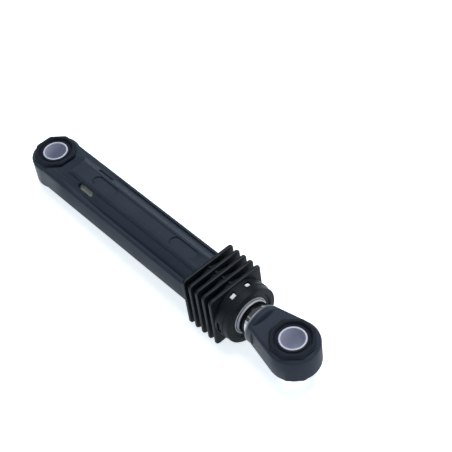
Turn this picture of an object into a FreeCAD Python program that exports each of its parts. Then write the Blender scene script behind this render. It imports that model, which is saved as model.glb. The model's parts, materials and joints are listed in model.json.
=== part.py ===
import FreeCAD, Part
import math
import os

# Friction damper for a washing machine's tub: a steel rod slides through a greased lining in a
# moulded housing. The origin is the centre of the housing's eye. +X runs along the damper to the
# rod's eye, +Z along both pins. All sizes are in millimetres.

# Eyes with their rubber bushes and spacer sleeves
pin_bore_radius = 6.5
sleeve_wall = 1.1
sleeve_half_length = 10.3
rubber_wall = 2.9
rubber_recess = 0.1
flange_flat = 12.2
flange_corner = 1.8
flange_edge = 0.8
eye_half_thickness = 8.5
eye_edge = 1.2
housing_eye_wall = 4.4
rod_eye_wall = 4.2
corner_flats = 3

# Housing: a round tube with a rail on each side and a raised band above and below
rod_radius = 10.0
bore_clearance = 1.0
body_wall = 2.2
body_length = 139.3
blind_end_wall = 6.0
rail_proud = 1.4
rail_thickness = 2.4
rail_half_height = 8.1
rail_draft = 0.3
rail_edge = 1.9
valley_depth = 1.1
heel_length = 34.0
heel_run = 26.0
band_proud = 0.8
band_half_width = 6.3
band_edge = 2.1
spotface_radius = 18.5
spotface_run = 1.2

# Shallow pockets in the bands, and windows through the tube wall
pocket_starts = (39.6, 109.2)
pocket_length = 20.6
pocket_half_width = 3.5
pocket_depth = 0.9
window_angle = 38.0
window_length = 13.5
window_width = 3.4
window_offset = 9.0

# Collar of square fins around the lining
fin_count = 5
fin_pitch = 5.3
fin_thickness = 2.0
fin_height = 3.2
fin_corner = 2.2
fin_edge = 0.55
web_thickness = 1.3
web_drop = 2.0
lining_thickness = 3.0
lining_slit = 0.8
seat_wall = 2.0
seat_shoulder = 1.4

# Guide bush in the mouth, keyed by four teeth, and the snap-on cap over it
spigot_length = 7.9
lip_wall = 0.9
lip_proud = 0.6
mouth_gap = 0.3
tooth_angle = 18.0
tooth_width = 3.4
tooth_length = 2.6
tooth_offset = 2.2
tooth_drop = 0.25
lug_width = 7.0
lug_drop = 0.7
cap_length = 10.25
cap_wall = 2.1
cap_front = 2.2
cap_bevel = 1.6
dish_radius = 13.6
dish_depth = 0.9

# Rod: steel tube, moulded eye and the plug on its inner end
rod_tube_wall = 1.2
closing_travel = 5.5
closing_gap = 0.5
neck_wall = 1.6
neck_length = 4.4
neck_drop = 4.4
neck_run = 1.7
neck_rim = 0.5
neck_reach = 25.6
arm_half_width = 9.7
socket_depth = 4.0
eye_spigot_length = 16.0
plug_room = 2.5
plug_head = 15.0
plug_spigot = 9.0
plug_edge = 0.8

# Clearances
running_clearance = 0.08
guide_clearance = 0.3
seat_clearance = 0.05
snap_clearance = 0.3

# Sizes worked out from the driving ones
sleeve_radius = pin_bore_radius + sleeve_wall
bush_radius = sleeve_radius + rubber_wall
bush_half_length = sleeve_half_length - rubber_recess
housing_eye_radius = bush_radius + housing_eye_wall
rod_eye_radius = bush_radius + rod_eye_wall
bore_radius = rod_radius + bore_clearance
body_radius = bore_radius + body_wall
rail_face = body_radius + rail_proud
rail_inner = rail_face - rail_thickness
rail_rim = rail_face - rail_draft
band_face = body_radius + band_proud
bore_start = spotface_radius + blind_end_wall
seat_radius = rod_radius + lining_thickness
core_radius = seat_radius + seat_wall
fin_half_width = core_radius + fin_height
collar_length = (fin_count - 1) * fin_pitch + fin_thickness
collar_end = body_length + collar_length
seat_start = body_length + seat_shoulder
spigot_end = collar_end + spigot_length
cap_inner_radius = core_radius + seat_clearance
cap_radius = cap_inner_radius + cap_wall
cap_start = collar_end + seat_clearance
cap_end = cap_start + cap_length
lip_radius = rod_radius + running_clearance + lip_wall
mouth_radius = lip_radius + mouth_gap
tooth_start = collar_end + tooth_offset
tooth_tip = cap_radius - tooth_drop
lip_end = cap_end + lip_proud
neck_start = lip_end + closing_travel + closing_gap
eye_spacing = neck_start + neck_reach
neck_radius = rod_radius + neck_wall
neck_end = neck_start + neck_length
tube_end = neck_start + socket_depth
plug_start = bore_start + closing_travel + plug_room
tube_start = plug_start + plug_head
window_start = bore_start + window_offset
spigot_radius = rod_radius - rod_tube_wall - seat_clearance
guide_start = collar_end - seat_shoulder
far = 4 * fin_half_width


def vector(x, y, z):
    return FreeCAD.Vector(x, y, z)


def cylinder_x(radius, start, end):
    return Part.makeCylinder(radius, end - start, vector(start, 0, 0), vector(1, 0, 0))


def cylinder_z(radius, half_height, x):
    return Part.makeCylinder(radius, 2 * half_height, vector(x, 0, -half_height))


def block(x_range, y_range, z_range):
    low = vector(x_range[0], y_range[0], z_range[0])
    sides = [r[1] - r[0] for r in (x_range, y_range, z_range)]
    return Part.makeBox(sides[0], sides[1], sides[2], low)


def turned(shape, degrees):
    copy = shape.copy()
    copy.rotate(vector(0, 0, 0), vector(1, 0, 0), degrees)
    return copy


def moved(shape, x):
    copy = shape.copy()
    copy.translate(vector(x, 0, 0))
    return copy


def fused(shapes):
    return shapes[0].fuse(shapes[1:]).removeSplitter()


def face_of(points):
    return Part.Face(Part.makePolygon(points + points[:1]))


def softened(points, radius):
    """Outline of a convex polygon with each corner rounded by a few short flats."""
    outline = []
    for before, corner, after in zip(points[-1:] + points[:-1], points, points[1:] + points[:1]):
        back = (before - corner).normalize()
        ahead = (after - corner).normalize()
        half = back.getAngle(ahead) / 2
        centre = corner + (back + ahead).normalize() * (radius / math.sin(half))
        start = corner + back * (radius / math.tan(half)) - centre
        for step in range(corner_flats + 1):
            turn = (math.pi - 2 * half) * step / corner_flats
            outline.append(centre + start * math.cos(turn) - back * (radius * math.sin(turn)))
    return outline


def revolved_x(profile):
    """Solid of revolution about the damper's axis, from (x, radius) points."""
    face = face_of([vector(x, 0, radius) for x, radius in profile])
    return face.revolve(vector(0, 0, 0), vector(1, 0, 0), 360)


def edges_along_x(shape):
    return [e for e in shape.Edges if abs(e.tangentAt(e.FirstParameter).x) > 0.999]


def rim_edges(shape, axis):
    """Edges that lie in a plane square to the axis, at the shape's two ends."""
    box = shape.BoundBox
    ends = {"x": (box.XMin, box.XMax), "z": (box.ZMin, box.ZMax)}[axis]
    found = []
    for edge in shape.Edges:
        reach = edge.BoundBox
        low, high = {"x": (reach.XMin, reach.XMax), "z": (reach.ZMin, reach.ZMax)}[axis]
        if high - low < 1e-4 and min(abs(low - end) for end in ends) < 1e-4:
            found.append(edge)
    return found


def slot_z(start, length, half_width, z_low, z_high):
    """Upright slot with round ends, its length along X."""
    centres = (start + half_width, start + length - half_width)
    middle = block(centres, (-half_width, half_width), (z_low, z_high))
    ends = [Part.makeCylinder(half_width, z_high - z_low, vector(x, 0, z_low)) for x in centres]
    return fused([middle] + ends)


def rounded_eight_sides(flat, corner, z_low, z_high):
    """Eight-sided prism about Z with rounded corners; flat is the distance from the axis to a side."""
    reach = flat / math.cos(math.pi / 8)
    angles = [math.pi / 8 + i * math.pi / 4 for i in range(8)]
    corners = [vector(reach * math.cos(a), reach * math.sin(a), z_low) for a in angles]
    return face_of(softened(corners, corner)).extrude(vector(0, 0, z_high - z_low))


def eye_sleeve(x):
    return cylinder_z(sleeve_radius, sleeve_half_length, x).cut(cylinder_z(pin_bore_radius, far, x))


def eye_bush(x):
    """Rubber bush with an eight-sided flange on each face of its eye."""
    barrel = cylinder_z(bush_radius - seat_clearance, eye_half_thickness, 0)
    flange = rounded_eight_sides(flange_flat, flange_corner, eye_half_thickness, bush_half_length)
    top_rim = [e for e in rim_edges(flange, "z") if e.BoundBox.ZMax > bush_half_length - 1e-4]
    flange = flange.makeChamfer(flange_edge, top_rim)
    bush = fused([barrel, flange, flange.mirror(vector(0, 0, 0), vector(0, 0, 1))])
    return moved(bush.cut(cylinder_z(sleeve_radius, far, 0)), x)


def eye_ring(radius, x):
    ring = cylinder_z(radius, eye_half_thickness, x)
    return ring.makeChamfer(eye_edge, rim_edges(ring, "z"))


def side_rail(side):
    """Rail along one side, drafted both ways from the parting line half way up its face."""
    top = rail_half_height
    points = [(rail_inner, -top), (rail_rim, -top), (rail_face, 0), (rail_rim, top), (rail_inner, top)]
    rail = face_of([vector(0, side * y, z) for y, z in points]).extrude(vector(body_length, 0, 0))
    middle = (rail_inner + rail_rim) / 2
    corners = [e for e in edges_along_x(rail) if abs(e.CenterOfMass.z) > top / 2]
    outer = [e for e in corners if abs(e.CenterOfMass.y) > middle]
    return rail.makeFillet(rail_edge, outer)


def body_core():
    """Fills the space between tube and rails: level at the heel, then sloping down to a valley."""
    top = rail_half_height
    low = top - valley_depth
    half = [(0, top), (heel_length, top), (heel_length + heel_run, low), (body_length, low)]
    outline = half + [(x, -z) for x, z in reversed(half)]
    middle = (rail_inner + rail_rim) / 2
    return face_of([vector(x, -middle, z) for x, z in outline]).extrude(vector(0, 2 * middle, 0))


def housing_body():
    """Tube, side rails and bands, cut down to the eye's faces by two spotfaces."""
    tube = cylinder_x(body_radius, 0, body_length)
    band = block((0, body_length), (-band_half_width, band_half_width), (-band_face, band_face))
    band = band.makeFillet(band_edge, edges_along_x(band))
    body = fused([tube, band, body_core(), side_rail(1), side_rail(-1)])
    rise = 2 * band_face - eye_half_thickness
    wide = spotface_radius + spotface_run * rise
    spotface = Part.makeCone(spotface_radius, wide, rise, vector(0, 0, eye_half_thickness))
    return body.cut([spotface, spotface.mirror(vector(0, 0, 0), vector(0, 0, 1))])


def fin_collar():
    """Square fins on a round core, tied by a web in the middle of each side."""
    parts = [cylinder_x(core_radius, body_length, spigot_end)]
    signs = ((-1, -1), (1, -1), (1, 1), (-1, 1))
    square = [vector(0, y * fin_half_width, z * fin_half_width) for y, z in signs]
    fin = face_of(softened(square, fin_corner)).extrude(vector(fin_thickness, 0, 0))
    fin = fin.makeChamfer(fin_edge, rim_edges(fin, "x"))
    for i in range(fin_count):
        parts.append(moved(fin, body_length + i * fin_pitch))
    web_reach = fin_half_width - web_drop
    half_web = web_thickness / 2
    web_root = seat_radius + seat_wall / 2
    web_run = (body_length + fin_edge, collar_end - fin_edge)
    web = block(web_run, (-half_web, half_web), (web_root, web_reach))
    parts += [turned(web, 90 * i) for i in range(4)]
    return fused(parts)


def tooth_block(width, start, end, low, high):
    """Four blocks at the guide bush's teeth, two above and two below."""
    one = block((start, end), (-width / 2, width / 2), (low, high))
    return [turned(one, a) for a in (tooth_angle, -tooth_angle, 180 + tooth_angle, 180 - tooth_angle)]


def lug_block(width, start, end, low, high):
    """Two blocks at the housing's snap lugs, one on each side."""
    one = block((start, end), (-width / 2, width / 2), (low, high))
    return [turned(one, a) for a in (90, -90)]


def housing():
    lug_root = seat_radius + seat_wall / 2
    lugs = lug_block(lug_width, tooth_start, tooth_start + tooth_length, lug_root, cap_radius - lug_drop)
    solid = fused([housing_body(), fin_collar(), eye_ring(housing_eye_radius, 0)] + lugs)
    cuts = [cylinder_z(bush_radius, far, 0), cylinder_x(bore_radius, bore_start, spigot_end + far)]
    cuts.append(cylinder_x(seat_radius, seat_start, spigot_end + far))
    keyway_start = tooth_start - snap_clearance
    keyway_width = tooth_width + 2 * snap_clearance
    cuts += tooth_block(keyway_width, keyway_start, spigot_end + far, rod_radius, core_radius + seat_wall)
    window = slot_z(window_start, window_length, window_width / 2, rod_radius / 2, band_face)
    angles = (window_angle, -window_angle, 180 + window_angle, 180 - window_angle)
    cuts += [turned(window, a) for a in angles]
    for start in pocket_starts:
        pocket = slot_z(start, pocket_length, pocket_half_width, band_face - pocket_depth, band_face + 1)
        cuts += [pocket, turned(pocket, 180)]
    return solid.cut(cuts).removeSplitter()


def end_cap():
    """Snap-on cap: a bevelled ring with a dished front, open at the lugs and at the bush's teeth."""
    dish = cap_end - dish_depth
    inside = cap_end - cap_front
    side = [(cap_start, cap_inner_radius), (cap_start, cap_radius), (cap_end - cap_bevel, cap_radius)]
    front = [(cap_end, cap_radius - cap_bevel), (cap_end, dish_radius), (dish, dish_radius - dish_depth)]
    mouth = [(dish, mouth_radius), (inside, mouth_radius), (inside, cap_inner_radius)]
    cap = revolved_x(side + front + mouth)
    opening = (tooth_start - snap_clearance, tooth_start + tooth_length + snap_clearance)
    cuts = tooth_block(tooth_width + 2 * snap_clearance, opening[0], opening[1], seat_radius, far)
    cuts += lug_block(lug_width + 2 * snap_clearance, opening[0], opening[1], seat_radius, far)
    return cap.cut(cuts)


def guide_bush():
    """White bush that carries the rod in the mouth, with a lip round the rod and four key teeth."""
    barrel_end = cap_end - cap_front - seat_clearance
    barrel = cylinder_x(seat_radius - seat_clearance, guide_start, barrel_end)
    lip = cylinder_x(lip_radius, guide_start, lip_end)
    tooth_end = tooth_start + tooth_length
    teeth = tooth_block(tooth_width, tooth_start, tooth_end, rod_radius + lip_wall, tooth_tip)
    solid = fused([barrel, lip] + teeth)
    return solid.cut(cylinder_x(rod_radius + running_clearance, 0, eye_spacing))


def friction_lining():
    """Greased strip bent round the rod, with a slit where its ends meet."""
    start = seat_start + seat_clearance
    lining = cylinder_x(seat_radius - running_clearance, start, guide_start - seat_clearance)
    slit = block((0, eye_spacing), (-far, 0), (-lining_slit / 2, lining_slit / 2))
    return lining.cut([cylinder_x(rod_radius + running_clearance, 0, eye_spacing), slit])


def rod_tube():
    tube = cylinder_x(rod_radius, tube_start, tube_end)
    return tube.cut(cylinder_x(rod_radius - rod_tube_wall, 0, eye_spacing))


def rod_end_plug():
    """Plug pressed into the tube's inner end; its head runs in the housing's bore."""
    head_radius = bore_radius - guide_clearance
    end = tube_start + plug_spigot
    head = [(plug_start, 0), (plug_start, head_radius - plug_edge), (plug_start + plug_edge, head_radius)]
    step = [(tube_start, head_radius), (tube_start, spigot_radius)]
    return revolved_x(head + step + [(end, spigot_radius), (end, 0)])


def tangent_point(x, y, radius):
    """Point where the line from (x, y) touches the circle about the origin, on the same side."""
    distance = math.hypot(x, y)
    angle = math.atan2(y, x) - math.acos(radius / distance)
    return radius * math.cos(angle), radius * math.sin(angle)


def rod_eye():
    """Eye moulding: a round neck and spigot that hold the tube, and an arm that widens into the eye."""
    slope_end = neck_end + neck_run
    rim = [(neck_start, 0), (neck_start, neck_radius - neck_rim), (neck_start + neck_rim, neck_radius)]
    slope = [(neck_end, neck_radius), (slope_end, neck_radius - neck_drop), (slope_end, 0)]
    neck = revolved_x(rim + slope)
    root = neck_start + neck_length / 2
    touch = tangent_point(root - eye_spacing, arm_half_width, rod_eye_radius)
    right = [vector(root, arm_half_width, 0), vector(eye_spacing + touch[0], touch[1], 0)]
    left = [vector(p.x, -p.y, 0) for p in reversed(right)]
    end = Part.Arc(right[1], vector(eye_spacing + rod_eye_radius, 0, 0), left[0]).toShape()
    sides = [Part.LineSegment(*right).toShape(), end, Part.LineSegment(*left).toShape(),
             Part.LineSegment(left[1], right[0]).toShape()]
    arm = Part.Face(Part.Wire(sides)).extrude(vector(0, 0, 2 * eye_half_thickness))
    arm.translate(vector(0, 0, -eye_half_thickness))
    arm = arm.makeChamfer(eye_edge, [e for e in rim_edges(arm, "z") if e.BoundBox.XMax > root + 1e-4])
    solid = fused([neck, arm])
    solid = solid.cut([cylinder_z(bush_radius, far, eye_spacing), cylinder_x(rod_radius, 0, tube_end)])
    return fused([solid, cylinder_x(spigot_radius, tube_end - eye_spigot_length, neck_end)])


def main():
    os.makedirs("parts", exist_ok=True)
    pieces = {
        "housing": housing(),
        "housing_eye_bush": eye_bush(0),
        "housing_eye_sleeve": eye_sleeve(0),
        "end_cap": end_cap(),
        "guide_bush": guide_bush(),
        "friction_lining": friction_lining(),
        "rod_tube": rod_tube(),
        "rod_end_plug": rod_end_plug(),
        "rod_eye": rod_eye(),
        "rod_eye_bush": eye_bush(eye_spacing),
        "rod_eye_sleeve": eye_sleeve(eye_spacing),
    }
    for name, shape in pieces.items():
        shape.exportStep("parts/%s.step" % name)
        print("%-20s solids %d, volume %.1f mm3" % (name, len(shape.Solids), shape.Volume))


main()
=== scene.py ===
import bmesh
import bpy
import json
import math
from mathutils import Matrix, Vector


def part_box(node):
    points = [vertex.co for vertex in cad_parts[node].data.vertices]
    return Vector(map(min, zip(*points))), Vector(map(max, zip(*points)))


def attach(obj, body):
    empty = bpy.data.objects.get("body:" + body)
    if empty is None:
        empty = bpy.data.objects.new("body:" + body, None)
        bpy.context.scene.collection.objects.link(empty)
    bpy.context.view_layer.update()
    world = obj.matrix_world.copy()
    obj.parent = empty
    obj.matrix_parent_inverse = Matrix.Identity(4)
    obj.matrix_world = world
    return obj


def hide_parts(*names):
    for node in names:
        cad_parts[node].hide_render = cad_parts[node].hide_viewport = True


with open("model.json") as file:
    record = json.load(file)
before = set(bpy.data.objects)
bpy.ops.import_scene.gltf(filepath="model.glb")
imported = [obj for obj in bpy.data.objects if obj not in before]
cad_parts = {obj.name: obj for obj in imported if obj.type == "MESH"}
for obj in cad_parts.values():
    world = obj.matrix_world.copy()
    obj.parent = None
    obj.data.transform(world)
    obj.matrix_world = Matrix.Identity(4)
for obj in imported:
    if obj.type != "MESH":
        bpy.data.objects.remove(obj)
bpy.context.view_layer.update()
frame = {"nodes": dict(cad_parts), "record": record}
nodes = frame["nodes"]
print("frame loaded:", len(nodes), "nodes")

mm = 0.001
smoothAngle = math.radians(34)
roundSteps = 96  # sides of a turned shape
fitGap = 0.02  # between pieces that touch, in millimetres


# Sizes that the frame gives, in millimetres

def span(node, axis):
    low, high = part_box(node)
    return low[axis] / mm, high[axis] / mm


def reach(node, axis):
    low, high = span(node, axis)
    return (high - low) / 2


eyeSpacing = sum(span("rod_eye_sleeve", 0)) / 2
sleeveRadius = reach("housing_eye_sleeve", 0)
sleeveHalf = reach("housing_eye_sleeve", 2)
flangeFlat = reach("housing_eye_bush", 0)
flangeTop = reach("housing_eye_bush", 2)
rodEyeRadius = reach("rod_eye", 1)
neckRadius = reach("rod_eye", 2)
finHalfWidth = reach("housing", 1)
capStart, capEnd = span("end_cap", 0)
capRadius = reach("end_cap", 1)
guideStart, lipEnd = span("guide_bush", 0)
guideRadius = reach("guide_bush", 1)
toothTip = reach("guide_bush", 2)
rodRadius = reach("rod_tube", 1)
tubeEnd = span("rod_tube", 0)[1]


# Node helpers

def addNode(tree, kind, where, **values):
    node = tree.nodes.new(kind)
    node.location = where
    for name, value in values.items():
        setattr(node, name, value)
    return node


def link(tree, source, target):
    tree.links.new(source, target)


def compute(tree, where, operation, *values):  # a Math node; each value is a number or a socket
    node = addNode(tree, "ShaderNodeMath", where, operation=operation)
    for socket, value in zip(node.inputs, values):
        if isinstance(value, (int, float)):
            socket.default_value = value
        else:
            link(tree, value, socket)
    return node.outputs[0]


def newGroup(name, kind, inputs, outputs):
    tree = bpy.data.node_groups.new(name, kind)
    for label, socketKind, default in inputs:
        socket = tree.interface.new_socket(label, in_out="INPUT", socket_type=socketKind)
        if default is not None:
            socket.default_value = default
    for label, socketKind in outputs:
        tree.interface.new_socket(label, in_out="OUTPUT", socket_type=socketKind)
    start = addNode(tree, "NodeGroupInput", (-900, 0))
    end = addNode(tree, "NodeGroupOutput", (900, 0))
    return tree, start.outputs, end.inputs


def newMaterial(name):
    material = bpy.data.materials.new(name)
    material.use_nodes = True
    tree = material.node_tree
    tree.nodes.clear()
    shader = addNode(tree, "ShaderNodeBsdfPrincipled", (500, 0))
    out = addNode(tree, "ShaderNodeOutputMaterial", (800, 0))
    link(tree, shader.outputs["BSDF"], out.inputs["Surface"])
    coords = addNode(tree, "ShaderNodeTexCoord", (-900, 0))
    return material, tree, shader, coords.outputs["Object"]


# Shared surface effects

def mouldGrainGroup():  # fine spark-eroded grain of the tool, and the slow tone drift of the melt
    tree, given, result = newGroup(
        "mouldGrain", "ShaderNodeTree",
        [("Place", "NodeSocketVector", None), ("Grain Scale", "NodeSocketFloat", 2600.0),
         ("Drift Scale", "NodeSocketFloat", 45.0)],
        [("Height", "NodeSocketFloat"), ("Drift", "NodeSocketFloat")])
    grain = addNode(tree, "ShaderNodeTexNoise", (-500, 200))
    grain.inputs["Detail"].default_value = 3.0
    link(tree, given["Place"], grain.inputs["Vector"])
    link(tree, given["Grain Scale"], grain.inputs["Scale"])
    link(tree, grain.outputs["Fac"], result["Height"])
    drift = addNode(tree, "ShaderNodeTexNoise", (-500, -150))
    drift.inputs["Detail"].default_value = 4.0
    drift.inputs["Roughness"].default_value = 0.6
    link(tree, given["Place"], drift.inputs["Vector"])
    link(tree, given["Drift Scale"], drift.inputs["Scale"])
    link(tree, drift.outputs["Fac"], result["Drift"])
    return tree


def paintedHighlightShadeGroup(least):  # a broken mask from the piece's own marked attribute: painted highlights on rims, painted shade in grooves
    tree, given, result = newGroup(
        "rubbedEdge", "ShaderNodeTree",
        [("Place", "NodeSocketVector", None), ("Break Scale", "NodeSocketFloat", 160.0)],
        [("Mask", "NodeSocketFloat")])
    rim = addNode(tree, "ShaderNodeAttribute", (-600, 200), attribute_name="rubbed")
    broken = addNode(tree, "ShaderNodeTexNoise", (-600, -100))
    broken.inputs["Detail"].default_value = 3.0
    link(tree, given["Place"], broken.inputs["Vector"])
    link(tree, given["Break Scale"], broken.inputs["Scale"])
    level = spread(tree, (-300, -100), broken.outputs["Fac"], least, 1.0)
    link(tree, compute(tree, (0, 0), "MULTIPLY", rim.outputs["Fac"], level), result["Mask"])
    return tree


polishPlan = {"railFade": (-0.007, 0.002), "topFade": (0.0055, 0.0082)}  # heights, in metres


def polishedGroup(plan):  # the tool is polished round the eye and low on the rails, and grained elsewhere
    tree, given, result = newGroup(
        "polished", "ShaderNodeTree",
        [("Place", "NodeSocketVector", None), ("Eye Start", "NodeSocketFloat", 0.014),
         ("Eye End", "NodeSocketFloat", 0.024), ("Rail Face", "NodeSocketFloat", 0.0132),
         ("Rail Share", "NodeSocketFloat", 0.45), ("Amount", "NodeSocketFloat", 0.3)],
        [("Mask", "NodeSocketFloat")])
    axes = addNode(tree, "ShaderNodeSeparateXYZ", (-700, 0))
    link(tree, given["Place"], axes.inputs[0])
    eye = addNode(tree, "ShaderNodeMapRange", (-300, 300))
    link(tree, axes.outputs["X"], eye.inputs["Value"])
    link(tree, given["Eye Start"], eye.inputs["From Min"])
    link(tree, given["Eye End"], eye.inputs["From Max"])
    eye.inputs["To Min"].default_value = 1.0
    eye.inputs["To Max"].default_value = 0.0
    aside = compute(tree, (-500, 0), "ABSOLUTE", axes.outputs["Y"])
    rail = compute(tree, (-300, 0), "GREATER_THAN", aside, given["Rail Face"])
    low = spread(tree, (-300, -250), axes.outputs["Z"], 1.0, 0.0, *plan["railFade"])
    both = compute(tree, (-50, -100), "MULTIPLY", rail, low)
    share = compute(tree, (120, -100), "MULTIPLY", both, given["Rail Share"])
    most = compute(tree, (300, 0), "MAXIMUM", eye.outputs["Result"], share)
    below = spread(tree, (120, -350), axes.outputs["Z"], 1.0, 0.0, *plan["topFade"])
    sides = compute(tree, (400, -200), "MULTIPLY", most, below)
    link(tree, compute(tree, (600, 0), "MULTIPLY", sides, given["Amount"]), result["Mask"])
    return tree


def mixColours(tree, where, factor, dark, light):
    mix = addNode(tree, "ShaderNodeMix", where, data_type="RGBA")
    link(tree, factor, mix.inputs["Factor"])
    for label, colour in (("A", dark), ("B", light)):
        if isinstance(colour, tuple):
            mix.inputs[label].default_value = (*colour, 1)
        else:
            link(tree, colour, mix.inputs[label])
    return mix.outputs["Result"]


def spread(tree, where, value, low, high, fromLow=0.3, fromHigh=0.7):
    ramp = addNode(tree, "ShaderNodeMapRange", where)
    link(tree, value, ramp.inputs["Value"])
    for label, number in (("From Min", fromLow), ("From Max", fromHigh), ("To Min", low), ("To Max", high)):
        ramp.inputs[label].default_value = number
    return ramp.outputs["Result"]


def grainBump(tree, shader, height, depth, strength):
    bump = addNode(tree, "ShaderNodeBump", (200, -300))
    bump.inputs["Distance"].default_value = depth
    bump.inputs["Strength"].default_value = strength
    link(tree, height, bump.inputs["Height"])
    link(tree, bump.outputs["Normal"], shader.inputs["Normal"])


grainGroup = mouldGrainGroup()
paintedHighlightShadeTree = paintedHighlightShadeGroup(least=0.45)
polishGroup = polishedGroup(polishPlan)


# Materials

blackGrain = {"grainScale": 2600.0, "grainDepth": 0.00006, "grainStrength": 0.35}
paleGrain = {"grainScale": 1500.0, "driftScale": 60.0, "grainDepth": 0.00004, "grainStrength": 0.25}
blackLook = {**blackGrain, "dark": (0.025, 0.0345, 0.051), "light": (0.031, 0.0415, 0.06),
             "rough": (0.5, 0.6), "specular": 0.09, "driftScale": 45.0, "coatRough": 0.35}
armPolish = {"Eye End": 0.206, "Eye Start": 0.19, "Rail Face": 0.0132, "Rail Share": 0.75}
bodyPolish = {"Eye End": 0.024, "Eye Start": 0.014, "Rail Face": 0.0132, "Rail Share": 0.45}
armLook = {**blackLook, "polished": armPolish}
bodyLook = {**blackLook, "polished": bodyPolish}
# The neck's lighter rim colour is a painted highlight ring round its rim and mouth
neckLook = {**blackLook, "rubbed": (0.38, 0.4, 0.44), "polished": {**armPolish, "Amount": 0.65}}
# The collar and cap use the body's black painted darker, as painted shade; their lighter rim colour is a
# painted highlight
collarShadedLook = {**blackGrain, "dark": (0.0085, 0.012, 0.0155), "light": (0.012, 0.0158, 0.02),
              "rough": (0.4, 0.5), "specular": 0.09, "driftScale": 70.0, "rubbed": (0.085, 0.1, 0.128)}
rubberLook = {"dark": (0.008, 0.0115, 0.0195), "light": (0.012, 0.0165, 0.027), "rough": (0.6, 0.75),
              "specular": 0.15, "grainScale": 1700.0, "driftScale": 90.0, "grainDepth": 0.00008,
              "grainStrength": 0.4}
sleeveLook = {**paleGrain, "dark": (0.5, 0.52, 0.65), "light": (0.57, 0.59, 0.72), "rough": (0.32, 0.42),
              "specular": 0.4}
guideLook = {**paleGrain, "dark": (0.8, 0.82, 0.88), "light": (0.84, 0.86, 0.91), "rough": (0.15, 0.22),
             "specular": 0.5, "rubbed": (0.02, 0.022, 0.025)}  # painted shade darkens the lip's groove
ivoryLook = {**paleGrain, "dark": (0.43, 0.49, 0.4), "light": (0.53, 0.59, 0.49), "rough": (0.35, 0.45),
             "specular": 0.5}
foamLook = {"dark": (0.1, 0.075, 0.04), "light": (0.2, 0.15, 0.09), "rough": (0.75, 0.95), "specular": 0.3,
            "grainScale": 900.0, "driftScale": 200.0, "grainDepth": 0.0004, "grainStrength": 0.8}
steelLook = {"dark": (0.4, 0.41, 0.43), "light": (0.48, 0.49, 0.51), "rough": (0.04, 0.08),
             "lineScale": 3000.0, "lineStretch": (1.0, 0.06, 0.06), "grainDepth": 0.000002,
             "grainStrength": 0.05}


def mouldedMaterial(name, look):
    material, tree, shader, place = newMaterial(name)
    grain = addNode(tree, "ShaderNodeGroup", (-600, 0), node_tree=grainGroup)
    grain.inputs["Grain Scale"].default_value = look["grainScale"]
    grain.inputs["Drift Scale"].default_value = look["driftScale"]
    link(tree, place, grain.inputs["Place"])
    tone = spread(tree, (-300, 200), grain.outputs["Drift"], 0, 1)
    colour = mixColours(tree, (-50, 250), tone, look["dark"], look["light"])
    # painted highlight on rims and painted shade in grooves, mixed into the colour where the piece is marked
    if "rubbed" in look:
        rims = addNode(tree, "ShaderNodeGroup", (-300, 450), node_tree=paintedHighlightShadeTree)
        link(tree, place, rims.inputs["Place"])
        colour = mixColours(tree, (200, 350), rims.outputs["Mask"], colour, look["rubbed"])
    link(tree, colour, shader.inputs["Base Color"])
    link(tree, spread(tree, (-50, 0), grain.outputs["Drift"], *look["rough"]), shader.inputs["Roughness"])
    shader.inputs["Specular IOR Level"].default_value = look["specular"]
    if "polished" in look:
        polish = addNode(tree, "ShaderNodeGroup", (200, -100), node_tree=polishGroup)
        for label, number in look["polished"].items():
            polish.inputs[label].default_value = number
        link(tree, place, polish.inputs["Place"])
        link(tree, polish.outputs["Mask"], shader.inputs["Coat Weight"])
        shader.inputs["Coat Roughness"].default_value = look["coatRough"]
    grainBump(tree, shader, grain.outputs["Height"], look["grainDepth"], look["grainStrength"])
    return material


def steelMaterial(name, look):
    material, tree, shader, place = newMaterial(name)
    stretch = addNode(tree, "ShaderNodeMapping", (-700, 0))
    stretch.inputs["Scale"].default_value = look["lineStretch"]  # fine grinding lines run round the tube
    link(tree, place, stretch.inputs["Vector"])
    lines = addNode(tree, "ShaderNodeTexNoise", (-500, 0))
    lines.inputs["Scale"].default_value = look["lineScale"]
    lines.inputs["Detail"].default_value = 3.0
    link(tree, stretch.outputs["Vector"], lines.inputs["Vector"])
    tone = spread(tree, (-300, 200), lines.outputs["Fac"], 0, 1)
    link(tree, mixColours(tree, (-50, 250), tone, look["dark"], look["light"]), shader.inputs["Base Color"])
    link(tree, spread(tree, (-50, 0), lines.outputs["Fac"], *look["rough"]), shader.inputs["Roughness"])
    shader.inputs["Metallic"].default_value = 1.0
    grainBump(tree, shader, lines.outputs["Fac"], look["grainDepth"], look["grainStrength"])
    return material


black = mouldedMaterial("blackMoulding", bodyLook)
armBlack = mouldedMaterial("armMoulding", armLook)
neckBlack = mouldedMaterial("neckMoulding", neckLook)
collarShadedBlack = mouldedMaterial("collarMoulding", collarShadedLook)
rubber = mouldedMaterial("bushRubber", rubberLook)
sleeveGrey = mouldedMaterial("sleeveMoulding", sleeveLook)
guideWhite = mouldedMaterial("guideMoulding", guideLook)
materials = {
    "black_plastic": black,
    "rubber": rubber,
    "white_plastic": sleeveGrey,
    "ivory_plastic": mouldedMaterial("ivoryMoulding", ivoryLook),
    "lining_foam": mouldedMaterial("greasedFoam", foamLook),
    "bright_steel": steelMaterial("brightSteel", steelLook),
}
for part in frame["record"]["subparts"]:
    piece = nodes[part["node"]]
    piece.data.materials.clear()
    piece.data.materials.append(materials[part["material_slot"]])
print("materials set:", len(bpy.data.materials))


# Mesh helpers

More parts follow.
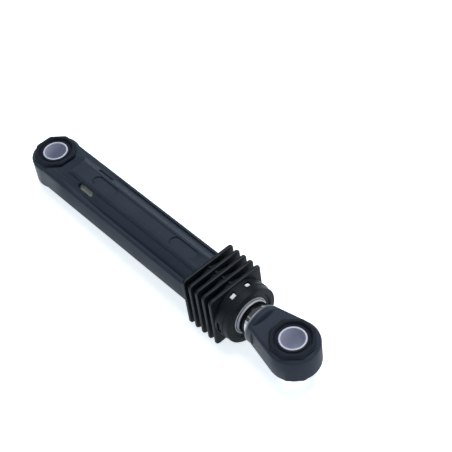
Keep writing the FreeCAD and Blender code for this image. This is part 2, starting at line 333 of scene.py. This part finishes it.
def softProfile(corners, steps=5):  # corners are (radius, height, roundness, ...); the rest is carried along
    points = []
    for i, corner in enumerate(corners):
        here = Vector(corner[:2])
        soft = corner[2]
        if not soft:
            points.append((here, corner[3:]))
            continue
        back = (Vector(corners[i - 1][:2]) - here).normalized()
        ahead = (Vector(corners[(i + 1) % len(corners)][:2]) - here).normalized()
        half = back.angle(ahead) / 2
        centre = here + (back + ahead).normalized() * (soft / math.sin(half))
        start = here + back * (soft / math.tan(half)) - centre
        for step in range(steps + 1):
            turn = (math.pi - 2 * half) * step / steps
            points.append((centre + start * math.cos(turn) - back * (soft * math.sin(turn)), corner[3:]))
    return points


def alongZ(x):  # a turned shape about an eye's own axis
    def place(radius, height, turn):
        return Vector((x + radius * math.cos(turn), radius * math.sin(turn), height)) * mm
    return place


def alongX(radius, height, turn):  # a turned shape about the damper's axis
    return Vector((height, radius * math.cos(turn), radius * math.sin(turn))) * mm


# A corner's fourth value is its share of an outline that isn't round or, where marked, how much painted
# highlight (neck) or painted shade (guide's groove) it gets
def turnedMesh(name, corners, place, steps=roundSteps, outline=None, marked=False):
    profile = softProfile(corners)
    mesh = bmesh.new()
    rubbed = mesh.verts.layers.float.new("rubbed") if marked else None
    rings = []
    for k in range(steps):
        turn = 2 * math.pi * k / steps
        ring = []
        for point, extra in profile:
            radius = point.x * outline(turn, extra[0]) if outline else point.x
            ring.append(mesh.verts.new(place(radius, point.y, turn)))
            if marked:
                ring[-1][rubbed] = extra[0]
        rings.append(ring)
    for ring, following in zip(rings, rings[1:] + rings[:1]):
        for i in range(len(profile)):
            j = (i + 1) % len(profile)
            mesh.faces.new((ring[i], following[i], following[j], ring[j]))
    return meshFrom(name, mesh)


def meshFrom(name, mesh):
    bmesh.ops.recalc_face_normals(mesh, faces=mesh.faces)
    data = bpy.data.meshes.new(name)
    mesh.to_mesh(data)
    mesh.free()
    return data


def newPiece(name, data, material, angle=smoothAngle):
    data.materials.clear()
    data.materials.append(material)
    data.shade_smooth()
    data.set_sharp_from_angle(angle=angle)
    piece = bpy.data.objects.new(name, data)
    bpy.context.collection.objects.link(piece)
    return piece


def settle(piece):  # turns the modified shape into the piece's own plain mesh
    bpy.context.view_layer.update()
    seen = piece.evaluated_get(bpy.context.evaluated_depsgraph_get())
    data = bpy.data.meshes.new_from_object(seen)
    piece.modifiers.clear()
    piece.data = data
    data.name = piece.name
    data.shade_smooth()
    data.set_sharp_from_angle(angle=smoothAngle)
    return piece


def cutAway(piece, cutters):
    helpers = []
    for i, data in enumerate(cutters):
        helper = bpy.data.objects.new(piece.name + "Helper%d" % i, data)
        bpy.context.collection.objects.link(helper)
        cut = piece.modifiers.new("cut", "BOOLEAN")
        cut.operation = "DIFFERENCE"
        cut.solver = "EXACT"
        cut.object = helper
        helpers.append(helper)
    settle(piece)
    for helper in helpers:
        bpy.data.objects.remove(helper)


def boxMesh(name, low, high, turns=(0,)):  # the same block at several turns about the damper's axis
    mesh = bmesh.new()
    size = Vector(high) - Vector(low)
    middle = (Vector(high) + Vector(low)) / 2
    for turn in turns:
        place = Matrix.Rotation(math.radians(turn), 4, "X") @ Matrix.Translation(middle * mm)
        bmesh.ops.create_cube(mesh, size=1, matrix=place @ Matrix.Diagonal((*(size * mm), 1)))
    return meshFrom(name, mesh)


def seat(piece, body, slot, *replaced):
    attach(piece, body)
    if replaced:
        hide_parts(*replaced)


# Geometry Nodes trees for what repeats

def alongTree():  # copies of a piece in a row along the damper
    tree, given, result = newGroup(
        "repeatAlong", "GeometryNodeTree",
        [("Geometry", "NodeSocketGeometry", None), ("Count", "NodeSocketInt", 5),
         ("Pitch", "NodeSocketFloat", 0.005), ("Material", "NodeSocketMaterial", None)],
        [("Geometry", "NodeSocketGeometry")])
    step = addNode(tree, "ShaderNodeCombineXYZ", (-650, -150))
    link(tree, given["Pitch"], step.inputs["X"])
    row = addNode(tree, "GeometryNodeMeshLine", (-450, -100))
    link(tree, given["Count"], row.inputs["Count"])
    link(tree, step.outputs[0], row.inputs["Offset"])
    copies = addNode(tree, "GeometryNodeInstanceOnPoints", (-200, 0))
    link(tree, row.outputs["Mesh"], copies.inputs["Points"])
    link(tree, given["Geometry"], copies.inputs["Instance"])
    finishTree(tree, copies.outputs["Instances"], given, result)
    return tree


def aroundTree():  # copies of a piece at even turns about the damper's axis
    tree, given, result = newGroup(
        "repeatAround", "GeometryNodeTree",
        [("Geometry", "NodeSocketGeometry", None), ("Count", "NodeSocketInt", 4),
         ("Step", "NodeSocketFloat", math.pi / 2), ("First", "NodeSocketFloat", 0.0),
         ("Material", "NodeSocketMaterial", None)],
        [("Geometry", "NodeSocketGeometry")])
    row = addNode(tree, "GeometryNodeMeshLine", (-450, 150))
    row.inputs["Offset"].default_value = (0, 0, 0)
    link(tree, given["Count"], row.inputs["Count"])
    number = addNode(tree, "GeometryNodeInputIndex", (-850, -250))
    turn = compute(tree, (-650, -200), "MULTIPLY_ADD", number.outputs[0], given["Step"], given["First"])
    angle = addNode(tree, "ShaderNodeCombineXYZ", (-450, -200))
    link(tree, turn, angle.inputs["X"])
    copies = addNode(tree, "GeometryNodeInstanceOnPoints", (-200, 0))
    link(tree, row.outputs["Mesh"], copies.inputs["Points"])
    link(tree, given["Geometry"], copies.inputs["Instance"])
    link(tree, angle.outputs[0], copies.inputs["Rotation"])
    finishTree(tree, copies.outputs["Instances"], given, result)
    return tree


def finishTree(tree, instances, given, result):
    real = addNode(tree, "GeometryNodeRealizeInstances", (200, 0))
    link(tree, instances, real.inputs["Geometry"])
    painted = addNode(tree, "GeometryNodeSetMaterial", (500, 0))
    link(tree, real.outputs["Geometry"], painted.inputs["Geometry"])
    link(tree, given["Material"], painted.inputs["Material"])
    link(tree, painted.outputs["Geometry"], result["Geometry"])


def repeat(piece, tree, **values):
    modifier = piece.modifiers.new(tree.name, "NODES")
    modifier.node_group = tree
    for item in tree.interface.items_tree:
        if item.item_type == "SOCKET" and item.in_out == "INPUT" and item.name in values:
            modifier[item.identifier] = values[item.name]
    return settle(piece)


repeatAlong = alongTree()
repeatAround = aroundTree()


# Rubber bushes: eight-sided flanges with a groove next to the sleeve

bushPlan = {"flat": flangeFlat + 0.3, "corner": 3.6, "top": flangeTop + 0.9, "land": 0.15, "landWidth": 1.0,
            "grooveWidth": 0.6, "grooveDepth": 0.8, "grooveSlope": 0.25, "grooveEdge": 0.15,
            "grooveRoot": 0.2, "rootShare": 0.1, "lipRun": 1.1, "lipEdge": 0.5, "lipShare": 0.4, "edge": 1.4,
            "face": 8.4, "barrel": 10.45, "steps": 128}


def eightSided(flat, corner):
    part = math.pi / 4
    arc = (flat - corner) / math.cos(part / 2)  # where the corner's arc is centred
    limit = math.atan((flat - corner) * math.tan(part / 2) / flat)

    def share(turn, weight):
        off = abs((turn + part / 2) % part - part / 2)
        if off <= limit:
            radius = flat / math.cos(off)
        else:
            lean = part / 2 - off
            radius = arc * math.cos(lean) + math.sqrt(corner ** 2 - (arc * math.sin(lean)) ** 2)
        return 1 + weight * (radius / flat - 1)
    return share


def eyeBush(name, x, plan):
    inner = sleeveRadius + fitGap
    land = flangeTop - plan["land"]
    groove = inner + plan["landWidth"]
    slope = groove + plan["grooveSlope"]
    floor = land - plan["grooveDepth"]
    lip = groove + plan["grooveWidth"] + plan["lipRun"]
    upper = [(inner, land, 0, 0), (groove, land, plan["grooveEdge"], 0),
             (slope, floor, plan["grooveEdge"], 0),
             (slope + plan["grooveWidth"], floor, plan["grooveRoot"], plan["rootShare"]),
             (lip, plan["top"], plan["lipEdge"], plan["lipShare"]),
             (plan["flat"], plan["top"], plan["edge"], 1), (plan["flat"], plan["face"], 0, 1),
             (plan["barrel"], plan["face"], 0, 0)]
    lower = [(r, -h, soft, weight) for r, h, soft, weight in reversed(upper)]
    outline = eightSided(plan["flat"], plan["corner"])
    data = turnedMesh(name, upper + lower, alongZ(x), plan["steps"], outline)
    return newPiece(name, data, rubber)


seat(eyeBush("housingBush", 0, bushPlan), "housing", "rubber", "housing_eye_bush")
seat(eyeBush("rodBush", eyeSpacing, bushPlan), "rod", "rubber", "rod_eye_bush")


# Spacer sleeves in the bushes, with eased ends

sleevePlan = {"wall": 1.1, "edge": 0.35}


def eyeSleeve(name, x, plan):
    inner = sleeveRadius - plan["wall"]
    corners = [(inner, -sleeveHalf, plan["edge"]), (sleeveRadius, -sleeveHalf, plan["edge"]),
               (sleeveRadius, sleeveHalf, plan["edge"]), (inner, sleeveHalf, plan["edge"])]
    return newPiece(name, turnedMesh(name, corners, alongZ(x)), sleeveGrey)


seat(eyeSleeve("housingSleeve", 0, sleevePlan), "housing", "white_plastic", "housing_eye_sleeve")
seat(eyeSleeve("rodSleeve", eyeSpacing, sleevePlan), "rod", "white_plastic", "rod_eye_sleeve")
print("bushes and sleeves made")


# Collar: square fins with webs between them, on a round core

finPlan = {"count": 5, "pitch": 5.3, "thickness": 2.0, "halfWidth": finHalfWidth, "corner": 2.3, "edge": 0.75,
           "edgeSteps": 8, "cornerSteps": 6, "sideSteps": 18, "core": 15.0, "coreEnd": 0.3, "rootDrop": 0.4,
           "endGap": 0.05, "webThickness": 1.3, "webDrop": 2.0, "webRoot": 14.0, "heel": 1.2, "heelRoot": 1.0,
           "wearFall": 3.4, "wearPlace": 0.3}
collarEnd = capStart - finPlan["endGap"]
collarStart = collarEnd - (finPlan["count"] - 1) * finPlan["pitch"] - finPlan["thickness"]


def roundedSquare(plan):  # points of the fin's outline, once round
    side = plan["halfWidth"] - plan["corner"]
    points = []
    for quarter in range(4):
        turn = Matrix.Rotation(math.pi / 2 * quarter, 2)
        for step in range(plan["cornerSteps"] + 1):
            bend = math.pi / 2 * step / plan["cornerSteps"]
            across = side + plan["corner"] * math.cos(bend)
            up = side + plan["corner"] * math.sin(bend)
            points.append(turn @ Vector((across, up)))
        for step in range(1, plan["sideSteps"]):
            points.append(turn @ Vector((side - 2 * side * step / plan["sideSteps"], plan["halfWidth"])))
    return points


def finMesh(plan):  # one fin, lofted from its root over the rounded rim and back
    outline = roundedSquare(plan)
    root = plan["core"] - plan["rootDrop"]
    bends = [math.pi / 2 * step / plan["edgeSteps"] for step in range(plan["edgeSteps"] + 1)]
    rim = [(plan["edge"] * (1 - math.sin(bend)), plan["edge"] * (1 - math.cos(bend))) for bend in bends]
    stations = [(inset, x, 0) for inset, x in rim]
    for inset, x in reversed(rim):  # a painted highlight lightens the front of the rim, where the lamp glints
        rimHighlight = 1 - plan["wearFall"] * abs(inset / plan["edge"] - plan["wearPlace"])
        stations.append((inset, plan["thickness"] - x, max(0, rimHighlight)))
    mesh = bmesh.new()
    rubbed = mesh.verts.layers.float.new("rubbed")
    rings = [[mesh.verts.new((0, *(p.normalized() * root * mm))) for p in outline]]
    for inset, x, rimHighlight in stations:
        scale = 1 - inset / plan["halfWidth"]
        ring = [mesh.verts.new((x * mm, *(p * scale * mm))) for p in outline]
        for vert in ring:
            vert[rubbed] = rimHighlight
        rings.append(ring)
    rings.append([mesh.verts.new((plan["thickness"] * mm, *(p.normalized() * root * mm))) for p in outline])
    for ring, following in zip(rings, rings[1:] + rings[:1]):
        for i in range(len(outline)):
            j = (i + 1) % len(outline)
            mesh.faces.new((ring[i], ring[j], following[j], following[i]))
    bmesh.ops.translate(mesh, vec=(collarStart * mm, 0, 0), verts=mesh.verts)
    return meshFrom("finStack", mesh)


fins = newPiece("finStack", finMesh(finPlan), collarShadedBlack)
repeat(fins, repeatAlong, Count=finPlan["count"], Pitch=finPlan["pitch"] * mm, Material=collarShadedBlack)
seat(fins, "housing", "black_plastic", "housing")

webLow = (collarStart + finPlan["edge"], -finPlan["webThickness"] / 2, finPlan["webRoot"])
webHigh = (collarEnd - finPlan["edge"], finPlan["webThickness"] / 2, finHalfWidth - finPlan["webDrop"])
webs = newPiece("finWebs", boxMesh("finWebs", webLow, webHigh), collarShadedBlack)
repeat(webs, repeatAround, Count=4, Step=math.pi / 2, First=0.0, Material=collarShadedBlack)
seat(webs, "housing", "black_plastic", "housing")

# The core's first stretch reaches inwards and closes the collar behind the first fin
coreStart = collarStart + fitGap
coreEnd = collarEnd - finPlan["coreEnd"]
heelEnd = collarStart + finPlan["heel"]
heelRoot = rodRadius + finPlan["heelRoot"]
coreCorners = [(finPlan["core"], coreStart, 0), (finPlan["core"], coreEnd, 0),
               (finPlan["webRoot"], coreEnd, 0), (finPlan["webRoot"], heelEnd, 0),
               (heelRoot, heelEnd, 0), (heelRoot, coreStart, 0)]
core = newPiece("collarCore", turnedMesh("collarCore", coreCorners, alongX), collarShadedBlack)
seat(core, "housing", "black_plastic", "housing")
print("collar made:", finPlan["count"], "fins")


# Housing: the moulded body, with the fins' room left free for the collar above

housingPlan = {"merge": 0.002, "inner": 13.6, "sharp": math.radians(16)}


def housingShell(plan):
    mesh = bmesh.new()
    mesh.from_mesh(nodes["housing"].data)
    bmesh.ops.remove_doubles(mesh, verts=mesh.verts, dist=plan["merge"] * mm)
    bmesh.ops.recalc_face_normals(mesh, faces=mesh.faces)
    low = (collarStart - fitGap) * mm
    high = (collarEnd + fitGap) * mm
    gone = []
    for face in mesh.faces:
        middle = face.calc_center_median()
        widest = max(math.hypot(v.co.y, v.co.z) for v in face.verts)
        rear = min(v.co.x for v in face.verts)
        if rear > low and middle.x < high and widest > plan["inner"] * mm:
            gone.append(face)
    bmesh.ops.delete(mesh, geom=gone, context="FACES")
    data = bpy.data.meshes.new("housingShell")
    mesh.to_mesh(data)
    mesh.free()
    return data


shell = newPiece("housingShell", housingShell(housingPlan), black, housingPlan["sharp"])
seat(shell, "housing", "black_plastic", "housing")
print("housing made:", len(shell.data.polygons), "faces")


# Snap-on cap: turned, with a stepped round front, and open at the lugs and at the guide's teeth

capPlan = {"inner": 15.05, "front": 2.2, "proud": 0.4, "shoulder": 0.5, "stepBack": 4.3, "stepDrop": 0.4,
           "stepRun": 0.3, "stepEdge": 0.25, "backEdge": 0.3, "edge": 0.2, "dishRadius": 13.9, "dishRun": 0.6,
           "dishDepth": 0.8, "mouth": 11.28, "steps": 128, "openingStart": 1.9, "openingLength": 3.2,
           "openingWidth": 4.0, "lugWidth": 7.6, "cutIn": 2, "cutOut": 3, "openings": (18, -18, 162, 198),
           "lugs": (90, -90)}


def capMesh(plan):
    step = capEnd - plan["stepBack"]
    wide = capRadius + plan["proud"]
    narrow = wide - plan["stepDrop"]
    dish = plan["dishRadius"] - plan["dishRun"]
    face = capEnd - plan["dishDepth"]
    inside = capEnd - plan["front"]
    corners = [(plan["inner"], capStart, 0), (wide, capStart, plan["backEdge"]),
               (wide, step, plan["stepEdge"]), (narrow, step + plan["stepRun"], plan["edge"]),
               (narrow, capEnd, plan["shoulder"]), (plan["dishRadius"], capEnd, plan["edge"]),
               (dish, face, plan["edge"]), (plan["mouth"], face, plan["edge"]),
               (plan["mouth"], inside, 0), (plan["inner"], inside, 0)]
    return turnedMesh("endCap", corners, alongX, plan["steps"])


def openings(plan, width, turns):
    start = capStart + plan["openingStart"]
    low = (start, -width / 2, plan["mouth"] + plan["cutIn"])
    high = (start + plan["openingLength"], width / 2, capRadius + plan["cutOut"])
    return boxMesh("opening", low, high, turns)


cap = newPiece("endCap", capMesh(capPlan), collarShadedBlack)
cutAway(cap, [openings(capPlan, capPlan["openingWidth"], capPlan["openings"]),
              openings(capPlan, capPlan["lugWidth"], capPlan["lugs"])])
seat(cap, "housing", "black_plastic", "end_cap")


# Guide bush: a slim lip round the rod, and four key teeth in the cap's openings

guidePlan = {"clearance": 0.08, "seatGap": 0.05, "lip": 11.2, "lipEdge": 0.28, "lipWall": 0.4, "lipBack": 1.0,
             "groove": 1.2, "greaseDrop": 0.3, "greaseTop": 0.1, "cleanFrom": 0.4, "wiper": 10.38,
             "wiperProud": 0.25, "wiperEdge": 0.18, "innerEdge": 0.1, "toothRoot": 1.5, "toothWidth": 3.4,
             "toothLength": 2.6, "toothStart": 2.25, "toothPair": 36.0, "toothEase": 0.4, "easeSteps": 3}


def guideMesh(plan):
    inner = rodRadius + plan["clearance"]
    lip = plan["lip"]
    ring = lip - plan["lipWall"]
    wiper = plan["wiper"]
    seatEnd = capEnd - capPlan["front"] - plan["seatGap"]
    step = lipEnd - plan["lipBack"]
    floor = step - plan["groove"]
    wiperEnd = lipEnd + plan["wiperProud"]
    # Corners marked 1 take painted shade in the lip's groove
    corners = [(inner, guideStart, 0, 0), (guideRadius, guideStart, 0, 0), (guideRadius, seatEnd, 0, 0),
               (lip, seatEnd, 0, 0), (lip, step, plan["lipEdge"], 0), (ring, step, plan["innerEdge"], 0),
               (ring, step - plan["greaseDrop"], 0, 1), (ring, floor, 0, 1), (wiper, floor, 0, 1),
               (wiper, step + plan["greaseTop"], 0, 1), (wiper, step + plan["cleanFrom"], 0, 0),
               (wiper, wiperEnd, plan["wiperEdge"], 0), (inner, wiperEnd, plan["innerEdge"], 0)]
    return turnedMesh("guideBush", corners, alongX, marked=True)


guide = newPiece("guideBush", guideMesh(guidePlan), guideWhite)
seat(guide, "housing", "white_plastic", "guide_bush")

toothStart = collarEnd + guidePlan["toothStart"]
toothSide = guidePlan["toothWidth"] / 2
toothLow = (toothStart, -toothSide, rodRadius + guidePlan["toothRoot"])
toothHigh = (toothStart + guidePlan["toothLength"], toothSide, toothTip)
teeth = newPiece("guideTeeth", boxMesh("guideTeeth", toothLow, toothHigh), guideWhite)
ease = teeth.modifiers.new("ease", "BEVEL")
ease.width = guidePlan["toothEase"] * mm
ease.segments = guidePlan["easeSteps"]
settle(teeth)
pair = math.radians(guidePlan["toothPair"])
repeat(teeth, repeatAround, Count=2, Step=pair, First=-pair / 2, Material=guideWhite)
repeat(teeth, repeatAround, Count=2, Step=math.pi, First=0.0, Material=guideWhite)
seat(teeth, "housing", "white_plastic", "guide_bush")
print("cap and guide bush made")


# Rod eye: a turned neck that holds the tube, and an arm with round edges that widens into the eye

armPlan = {"neckReach": 25.6, "neckLength": 4.4, "neckMouth": 0.15, "mouthWear": 0.6, "neckRim": 0.6,
           "rimRun": 1.6, "slopeEdge": 0.4, "neckDrop": 4.4, "neckRun": 1.7, "halfWidth": 9.7,
           "halfThickness": 8.6, "edge": 1.9, "edgeSteps": 6, "arcSteps": 64, "slack": 0.1, "bore": 10.5,
           "boss": 6.0, "cutBack": 20, "cutHalf": 30}
neckStart = eyeSpacing - armPlan["neckReach"]
neckEnd = neckStart + armPlan["neckLength"]


def neckMesh(plan):
    socket = rodRadius + fitGap
    slopeEnd = neckEnd + plan["neckRun"]
    # The rim and the mouth are marked for the painted highlight ring
    corners = [(socket, neckStart, plan["neckMouth"], plan["mouthWear"]),
               (neckRadius, neckStart, plan["neckRim"], 1),
               (neckRadius, neckStart + plan["rimRun"], 0, 0), (neckRadius, neckEnd, plan["slopeEdge"], 0),
               (neckRadius - plan["neckDrop"], slopeEnd, 0, 0), (plan["boss"], slopeEnd, 0, 0),
               (plan["boss"], tubeEnd, 0, 0), (socket, tubeEnd, 0, 0)]
    return turnedMesh("rodNeck", corners, alongX, marked=True)


def armMesh(plan):
    root = neckStart + plan["neckLength"] / 2
    away = root - eyeSpacing
    distance = math.hypot(away, plan["halfWidth"])
    touch = math.atan2(plan["halfWidth"], away) - math.acos(rodEyeRadius / distance)
    outline = [Vector((root, plan["halfWidth"], 0)), Vector((root, -plan["halfWidth"], 0))]
    for step in range(plan["arcSteps"] + 1):
        turn = touch * (2 * step / plan["arcSteps"] - 1)
        outline.append(Vector((eyeSpacing + rodEyeRadius * math.cos(turn), rodEyeRadius * math.sin(turn), 0)))
    mesh = bmesh.new()
    low = [mesh.verts.new((p.x * mm, p.y * mm, -plan["halfThickness"] * mm)) for p in outline]
    high = [mesh.verts.new((p.x * mm, p.y * mm, plan["halfThickness"] * mm)) for p in outline]
    mesh.faces.new(low)
    mesh.faces.new(high)
    for i in range(len(outline)):
        j = (i + 1) % len(outline)
        mesh.faces.new((low[i], low[j], high[j], high[i]))
    bmesh.ops.recalc_face_normals(mesh, faces=mesh.faces)
    slack = plan["slack"] * mm
    rims = [e for e in mesh.edges if abs(e.verts[0].co.z - e.verts[1].co.z) < slack and
            max(v.co.x for v in e.verts) > root * mm + slack]
    bmesh.ops.bevel(mesh, geom=rims, offset=plan["edge"] * mm, segments=plan["edgeSteps"], profile=0.5,
                    affect="EDGES", clamp_overlap=True)
    return meshFrom("rodArm", mesh)


def plugMesh(name, radius, place, low, high):  # a closed round cutter
    mesh = bmesh.new()
    turns = [2 * math.pi * k / roundSteps for k in range(roundSteps)]
    ends = [[mesh.verts.new(place(radius, height, turn)) for turn in turns] for height in (low, high)]
    mesh.faces.new(ends[0])
    mesh.faces.new(ends[1])
    for k in range(roundSteps):
        j = (k + 1) % roundSteps
        mesh.faces.new((ends[0][k], ends[0][j], ends[1][j], ends[1][k]))
    return meshFrom(name, mesh)


rodEye = newPiece("rodEye", armMesh(armPlan), armBlack)
socketCut = plugMesh("socket", rodRadius + fitGap, alongX, neckStart - armPlan["cutBack"], tubeEnd)
boreCut = plugMesh("eyeBore", armPlan["bore"], alongZ(eyeSpacing), -armPlan["cutHalf"], armPlan["cutHalf"])
cutAway(rodEye, [socketCut, boreCut])
neck = newPiece("rodNeck", neckMesh(armPlan), neckBlack)
seat(neck, "rod", "black_plastic", "rod_eye")
seat(rodEye, "rod", "black_plastic", "rod_eye")
print("rod eye made:", len(rodEye.data.polygons), "faces")


# Floor under the two points that the damper rests on

floorPlan = {"reach": 6.0, "gap": 0.00005, "wall": 2.0, "wallSteps": 48, "colour": (0.8, 0.86, 0.93),
             "glow": 0.8, "tint": (0.9, 0.96, 1.0)}  # in metres


def restLine():  # the lower hull of the side view, and its edge under the middle of the damper
    meshes = [piece.data for piece in bpy.data.objects if piece.type == "MESH"]
    points = sorted({(v.co.x, v.co.z) for data in meshes for v in data.vertices})
    hull = []
    for x, z in points:
        while len(hull) > 1:
            (x0, z0), (x1, z1) = hull[-2:]
            if (x1 - x0) * (z - z0) > (z1 - z0) * (x - x0):
                break
            hull.pop()
        hull.append((x, z))
    middle = (points[0][0] + points[-1][0]) / 2
    for start, end in zip(hull, hull[1:]):
        if start[0] <= middle <= end[0]:
            return Vector((start[0], 0, start[1])), Vector((end[0], 0, end[1]))


def floorMaterial(plan):  # paper that takes the shadow, and looks white to the camera and in mirrors
    material = bpy.data.materials.new("floorPaper")
    material.use_nodes = True
    tree = material.node_tree
    tree.nodes.clear()
    paper = addNode(tree, "ShaderNodeBsdfDiffuse", (0, 0))
    paper.inputs["Color"].default_value = (*plan["colour"], 1)
    glow = addNode(tree, "ShaderNodeEmission", (0, -200))
    glow.inputs["Color"].default_value = (*plan["tint"], 1)
    rays = addNode(tree, "ShaderNodeLightPath", (-700, -200))
    seen = rays.outputs["Is Camera Ray"]
    for kind in ("Is Transmission Ray", "Is Glossy Ray"):
        seen = compute(tree, (-450, -200), "MAXIMUM", seen, rays.outputs[kind])
    link(tree, compute(tree, (-150, -200), "MULTIPLY", seen, plan["glow"]), glow.inputs["Strength"])
    both = addNode(tree, "ShaderNodeAddShader", (250, 0))
    link(tree, paper.outputs[0], both.inputs[0])
    link(tree, glow.outputs[0], both.inputs[1])
    out = addNode(tree, "ShaderNodeOutputMaterial", (500, 0))
    link(tree, both.outputs[0], out.inputs["Surface"])
    return material


def makeFloor(plan):
    start, end = restLine()
    along = (end - start).normalized()
    across = Vector((0, 1, 0))
    middle = (start + end) / 2 - Vector((0, 0, plan["gap"]))
    count = plan["wallSteps"]
    turns = [2 * math.pi * k / count for k in range(count)]
    rim = [middle + plan["reach"] * (math.cos(t) * along + math.sin(t) * across) for t in turns]
    top = [p + Vector((0, 0, plan["wall"])) for p in rim]  # a low round backdrop behind the floor
    faces = [tuple(range(count))]
    for k in range(count):
        j = (k + 1) % count
        faces.append((k, count + k, count + j, j))
    mesh = bpy.data.meshes.new("floor")
    mesh.from_pydata(rim + top, [], faces)
    floor = bpy.data.objects.new("floor", mesh)
    bpy.context.collection.objects.link(floor)
    mesh.materials.append(floorMaterial(plan))


makeFloor(floorPlan)


# Light and camera

worldPlan = {"colour": (0.9, 0.95, 1.0), "strength": 0.15}
lampAim = Vector((0.1, 0, 0))
boxes = {
    "mainBox": {"place": (-0.1, 0.6, 2.1), "size": 1.2, "power": 39.0},
    "fillBox": {"place": (-0.2, -1.0, 1.7), "size": 1.2, "power": 3.0},
    "frontBox": {"place": (1.7, 0.4, 0.9), "size": 1.0, "power": 7.0},
}
cameraPlan = {"place": (0.478, -0.2286, 0.4926), "right": (0.6712, 0.7341, -0.1028),
              "back": (0.545, -0.3947, 0.7397), "lens": 92.9, "sensor": 36.0, "near": 0.01}


def lightWorld(plan):
    world = bpy.data.worlds.new("studio")
    bpy.context.scene.world = world
    world.use_nodes = True
    sky = world.node_tree.nodes["Background"]
    sky.inputs["Color"].default_value = (*plan["colour"], 1)
    sky.inputs["Strength"].default_value = plan["strength"]


def hangBox(name, plan):
    lamp = bpy.data.lights.new(name, "AREA")
    lamp.shape = "SQUARE"
    lamp.size = plan["size"]
    lamp.energy = plan["power"]
    holder = bpy.data.objects.new(name, lamp)
    holder.location = plan["place"]
    holder.rotation_euler = (lampAim - holder.location).to_track_quat("-Z", "Y").to_euler()
    bpy.context.collection.objects.link(holder)


def placeCamera(plan):
    lens = bpy.data.cameras.new("camera")
    lens.lens = plan["lens"]
    lens.sensor_width = plan["sensor"]
    lens.clip_start = plan["near"]
    camera = bpy.data.objects.new("camera", lens)
    right = Vector(plan["right"]).normalized()
    back = Vector(plan["back"])
    back = (back - right * back.dot(right)).normalized()
    up = back.cross(right)
    camera.matrix_world = Matrix.Translation(plan["place"]) @ Matrix((right, up, back)).transposed().to_4x4()
    bpy.context.collection.objects.link(camera)
    bpy.context.scene.camera = camera


lightWorld(worldPlan)
for boxName, boxPlan in boxes.items():
    hangBox(boxName, boxPlan)
placeCamera(cameraPlan)
bpy.context.scene.view_settings.view_transform = "Standard"
print("floor, light and camera set")
